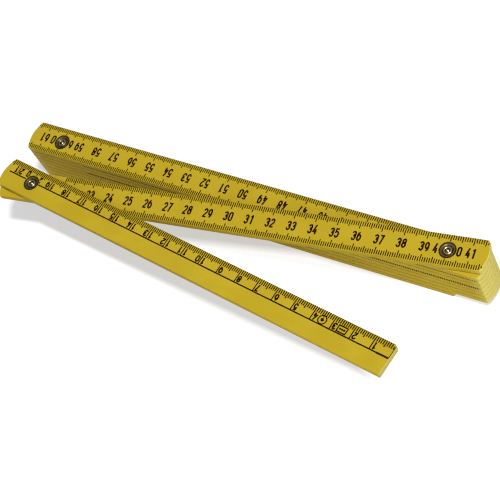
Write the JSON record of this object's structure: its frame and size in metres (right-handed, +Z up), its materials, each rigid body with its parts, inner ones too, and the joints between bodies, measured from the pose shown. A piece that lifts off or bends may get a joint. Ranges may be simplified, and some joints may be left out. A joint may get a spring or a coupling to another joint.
{
  "type": "folding rule",
  "caption": "Yellow plastic folding rule with a black metric scale, steel-riveted leaves in a zigzag, the top two swung partly open.",
  "frame": {"origin": "on the underside of the lowest leaf, midway between its two rivet columns", "axes": "+Z up along every rivet, +X along the folded stack towards the two free ends of the scale, +Y away from the side on which the leaves open"},
  "size_m": [0.235, 0.0703, 0.0299],
  "materials": {
    "yellow_plastic": "satin golden-yellow moulded plastic",
    "rivet_steel": "bright rolled steel tube",
    "washer_steel": "dark burnished spring steel",
    "scale_ink": "black printing ink"
  },
  "bodies": {
    "section_10": {"leaf_10": "yellow_plastic", "rivet_180": "rivet_steel", "lower_washer_180": "washer_steel"},
    "section_09": {"leaf_09": "yellow_plastic", "upper_washer_180": "washer_steel", "rivet_160": "rivet_steel", "lower_washer_160": "washer_steel"},
    "section_08": {"leaf_08": "yellow_plastic", "upper_washer_160": "washer_steel", "rivet_140": "rivet_steel", "lower_washer_140": "washer_steel"},
    "section_07": {"leaf_07": "yellow_plastic", "upper_washer_140": "washer_steel", "rivet_120": "rivet_steel", "lower_washer_120": "washer_steel"},
    "section_06": {"leaf_06": "yellow_plastic", "upper_washer_120": "washer_steel", "rivet_100": "rivet_steel", "lower_washer_100": "washer_steel"},
    "section_05": {"leaf_05": "yellow_plastic", "upper_washer_100": "washer_steel", "rivet_080": "rivet_steel", "lower_washer_080": "washer_steel"},
    "section_04": {"leaf_04": "yellow_plastic", "upper_washer_080": "washer_steel", "rivet_060": "rivet_steel", "lower_washer_060": "washer_steel"},
    "section_03": {"leaf_03": "yellow_plastic", "upper_washer_060": "washer_steel", "rivet_040": "rivet_steel", "lower_washer_040": "washer_steel"},
    "section_02": {"leaf_02": "yellow_plastic", "upper_washer_040": "washer_steel", "rivet_020": "rivet_steel", "lower_washer_020": "washer_steel"},
    "section_01": {"leaf_01": "yellow_plastic", "upper_washer_020": "washer_steel"}
  },
  "joints": [
    {"name": "joint_180", "type": "hinge", "parent": "section_10", "child": "section_09", "pos_m": [-0.1, 0, 0.003], "axis": [0, 0, -1], "range_deg": [0, 180]},
    {"name": "joint_160", "type": "hinge", "parent": "section_09", "child": "section_08", "pos_m": [0.1, 0, 0.006], "axis": [0, 0, 1], "range_deg": [0, 180]},
    {"name": "joint_140", "type": "hinge", "parent": "section_08", "child": "section_07", "pos_m": [-0.1, 0, 0.009], "axis": [0, 0, -1], "range_deg": [0, 180]},
    {"name": "joint_120", "type": "hinge", "parent": "section_07", "child": "section_06", "pos_m": [0.1, 0, 0.012], "axis": [0, 0, 1], "range_deg": [0, 180]},
    {"name": "joint_100", "type": "hinge", "parent": "section_06", "child": "section_05", "pos_m": [-0.1, 0, 0.015], "axis": [0, 0, -1], "range_deg": [0, 180]},
    {"name": "joint_080", "type": "hinge", "parent": "section_05", "child": "section_04", "pos_m": [0.1, 0, 0.018], "axis": [0, 0, 1], "range_deg": [0, 180]},
    {"name": "joint_060", "type": "hinge", "parent": "section_04", "child": "section_03", "pos_m": [-0.1, 0, 0.021], "axis": [0, 0, -1], "range_deg": [0, 180]},
    {"name": "joint_040", "type": "hinge", "parent": "section_03", "child": "section_02", "pos_m": [0.1, 0, 0.024], "axis": [0, 0, 1], "range_deg": [-7.6, 172.4]},
    {"name": "joint_020", "type": "hinge", "parent": "section_02", "child": "section_01", "pos_m": [-0.09824, -0.02645, 0.027], "axis": [0, 0, -1], "range_deg": [-15.5, 164.5]}
  ]
}
